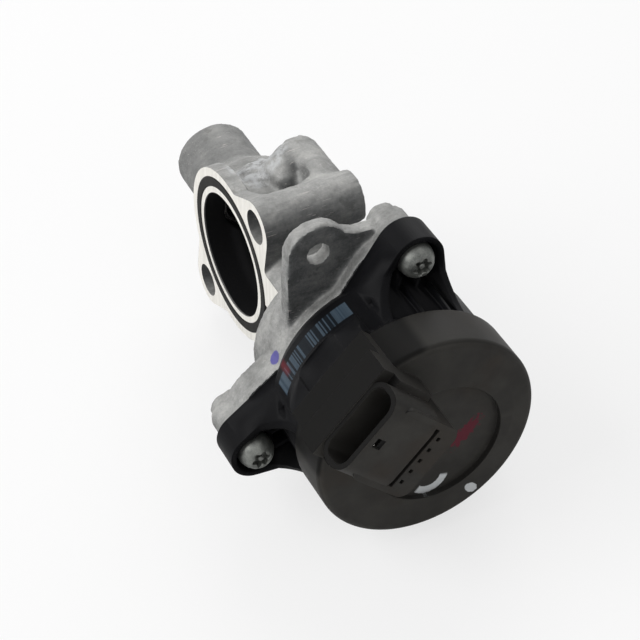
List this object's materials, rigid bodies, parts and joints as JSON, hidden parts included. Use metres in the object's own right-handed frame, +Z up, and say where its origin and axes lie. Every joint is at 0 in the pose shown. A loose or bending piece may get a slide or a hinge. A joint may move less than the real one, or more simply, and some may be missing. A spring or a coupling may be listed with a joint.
{
  "type": "egr valve",
  "caption": "Exhaust gas recirculation valve: cast body with a two-bolt flange, poppet on a lead screw, and a round motor housing with a plug socket.",
  "frame": {"origin": "centre of the gas bore at the flange face", "axes": "flange faces -X, stem axis along Y with the motor cover facing -Y, +Z up"},
  "size_m": [0.073, 0.1365, 0.074],
  "materials": {
    "cast_aluminium": "cast grey, machined on the flange face",
    "black_plastic": "moulded satin black",
    "cover_plastic": "moulded satin dark brown-grey",
    "rubber": "matt black",
    "stainless": "turned and ground",
    "spring_steel": "bright wire",
    "zinc_steel": "dull zinc plated",
    "bearing_steel": "polished",
    "bronze": "sintered",
    "brass": "machined",
    "magnet": "sintered dark grey",
    "copper": "enamelled winding",
    "lamination": "stamped sheets",
    "board": "green solder mask",
    "chip": "moulded black",
    "tin": "tin plated"
  },
  "bodies": {
    "housing": {"valve_body": "cast_aluminium", "flange_seal": "rubber", "seat_ring": "stainless", "stem_guide": "bronze", "stem_seal": "rubber", "seal_cap": "stainless", "return_spring": "spring_steel", "housing_seal": "rubber", "motor_housing": "black_plastic", "ear_sleeves": "zinc_steel", "housing_screws": "zinc_steel", "lower_bearing_outer": "bearing_steel", "lower_bearing_balls": "bearing_steel", "upper_bearing_outer": "bearing_steel", "upper_bearing_balls": "bearing_steel", "stator_core": "lamination", "stator_coils": "copper", "bearing_bridge": "zinc_steel", "circuit_board": "board", "board_chips": "chip", "board_spacers": "brass", "motor_cover": "cover_plastic", "terminal_pins": "tin"},
    "valve": {"poppet": "stainless", "spring_retainer": "zinc_steel", "collets": "zinc_steel", "lead_screw": "stainless"},
    "rotor": {"rotor_nut": "brass", "rotor_magnet": "magnet", "lower_bearing_inner": "bearing_steel", "upper_bearing_inner": "bearing_steel", "sensor_magnet": "magnet"}
  },
  "joints": [
    {"name": "valve_lift", "type": "slide", "parent": "housing", "child": "valve", "axis": [0, 1, 0], "range_m": [0, 0.006], "stiffness_N_per_m": 1000, "springref_m": -0.005, "deforming": ["return_spring"]},
    {"name": "rotor_spin", "type": "hinge", "parent": "housing", "child": "rotor", "pos_m": [0.013, -0.06, 0], "axis": [0, 1, 0], "range_deg": [0, 540]}
  ],
  "couplings": [
    {"joint": "rotor_spin", "follows": "valve_lift", "rad_per_m": 1570.8}
  ]
}
